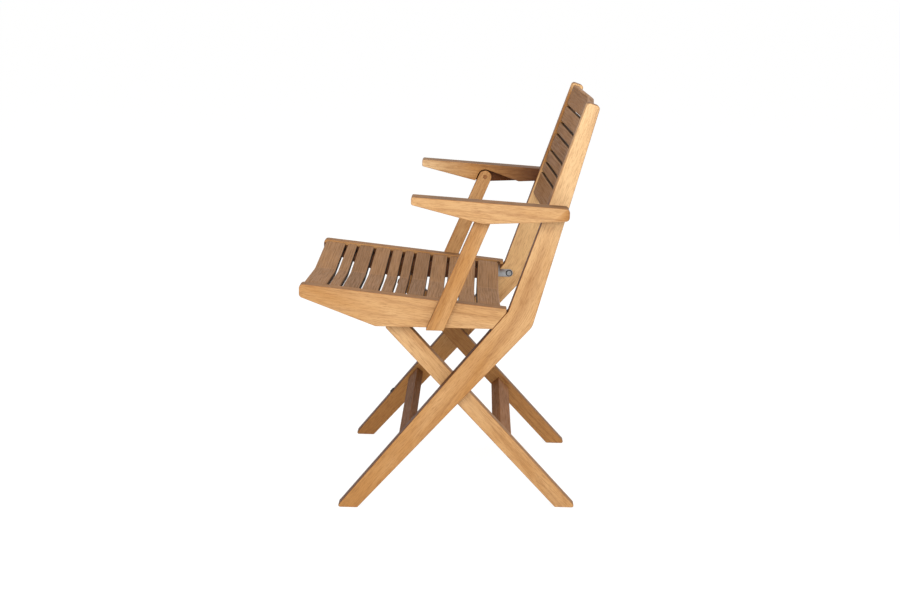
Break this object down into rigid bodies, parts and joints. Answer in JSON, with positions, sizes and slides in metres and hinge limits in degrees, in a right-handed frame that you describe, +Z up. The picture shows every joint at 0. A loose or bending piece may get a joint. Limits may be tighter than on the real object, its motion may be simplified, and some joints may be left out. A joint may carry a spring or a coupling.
{
  "type": "folding armchair",
  "caption": "Folding teak armchair with a dished slatted seat and back on bent side legs, crossing rear legs, and armrests on posts that fold with the seat.",
  "frame": {"origin": "on the floor, at the centre of the chair's width and of its depth at rest", "axes": "+Z up, the chair faces -Y, +X towards the sitter's left"},
  "size_m": [0.585, 0.6052, 0.864],
  "materials": {
    "teak_side": "oiled golden teak",
    "teak_top": "weathered grey-brown teak",
    "teak_shade": "darker inside teak",
    "steel": "satin stainless steel",
    "dark_nylon": "dark brown plastic"
  },
  "bodies": {
    "back_frame": {"back_leg_left": "teak_side", "back_leg_right": "teak_side", "back_slat_1": "teak_top", "back_slat_2": "teak_top", "back_slat_3": "teak_top", "back_slat_4": "teak_top", "back_slat_5": "teak_top", "back_slat_6": "teak_top", "back_slat_7": "teak_top", "front_stretcher": "teak_shade", "stop_stud": "dark_nylon", "hinge_plate_left": "steel", "hinge_plate_right": "steel", "hinge_bolt_left": "steel", "hinge_bolt_right": "steel", "hinge_screw_left": "steel", "hinge_screw_right": "steel", "hinge_pin_left": "steel", "hinge_pin_right": "steel", "crossing_pin_left": "steel", "crossing_pin_right": "steel", "crossing_washer_left": "dark_nylon", "crossing_washer_right": "dark_nylon"},
    "seat": {"seat_rail_left": "teak_side", "seat_rail_right": "teak_side", "seat_cleat_left": "teak_shade", "seat_cleat_right": "teak_shade", "leg_rest_left": "teak_shade", "leg_rest_right": "teak_shade", "seat_slat_1": "teak_top", "seat_slat_2": "teak_top", "seat_slat_3": "teak_top", "seat_slat_4": "teak_top", "seat_slat_5": "teak_top", "seat_slat_6": "teak_top", "seat_slat_7": "teak_top", "seat_slat_8": "teak_top", "seat_slat_9": "teak_top", "seat_slat_10": "teak_top", "seat_slat_11": "teak_top"},
    "rear_legs": {"rear_leg_left": "teak_side", "rear_leg_right": "teak_side", "rear_stretcher": "teak_shade"},
    "arm_left": {"armrest_left": "teak_side", "armrest_pin_left": "steel"},
    "arm_right": {"armrest_right": "teak_side", "armrest_pin_right": "steel"},
    "post_left": {"arm_post_left": "teak_side", "post_head_pin_left": "teak_shade", "post_foot_pin_left": "steel"},
    "post_right": {"arm_post_right": "teak_side", "post_head_pin_right": "teak_shade", "post_foot_pin_right": "steel"}
  },
  "joints": [
    {"name": "seat_fold", "type": "hinge", "parent": "back_frame", "child": "seat", "pos_m": [0, 0.11195, 0.43722], "axis": [-1, 0, 0], "range_deg": [0, 100]},
    {"name": "rear_legs_fold", "type": "hinge", "parent": "back_frame", "child": "rear_legs", "pos_m": [0, 0.0174, 0.26195], "axis": [-1, 0, 0], "range_deg": [0, 74]},
    {"name": "arm_left_fold", "type": "hinge", "parent": "back_frame", "child": "arm_left", "pos_m": [0.2725, 0.20837, 0.64099], "axis": [-1, 0, 0], "range_deg": [0, 100]},
    {"name": "arm_right_fold", "type": "hinge", "parent": "back_frame", "child": "arm_right", "pos_m": [-0.2725, 0.20837, 0.64099], "axis": [-1, 0, 0], "range_deg": [0, 100]},
    {"name": "post_left_fold", "type": "hinge", "parent": "seat", "child": "post_left", "pos_m": [0.2625, -0.01237, 0.422], "axis": [-1, 0, 0], "range_deg": [-100, 0]},
    {"name": "post_right_fold", "type": "hinge", "parent": "seat", "child": "post_right", "pos_m": [-0.2625, -0.01237, 0.422], "axis": [-1, 0, 0], "range_deg": [-100, 0]}
  ],
  "couplings": [
    {"joint": "rear_legs_fold", "follows": "seat_fold", "ratio": 0.72},
    {"joint": "arm_left_fold", "follows": "seat_fold", "ratio": 0.945},
    {"joint": "arm_right_fold", "follows": "seat_fold", "ratio": 0.945},
    {"joint": "post_left_fold", "follows": "seat_fold", "ratio": -0.9725},
    {"joint": "post_right_fold", "follows": "seat_fold", "ratio": -0.9725}
  ]
}
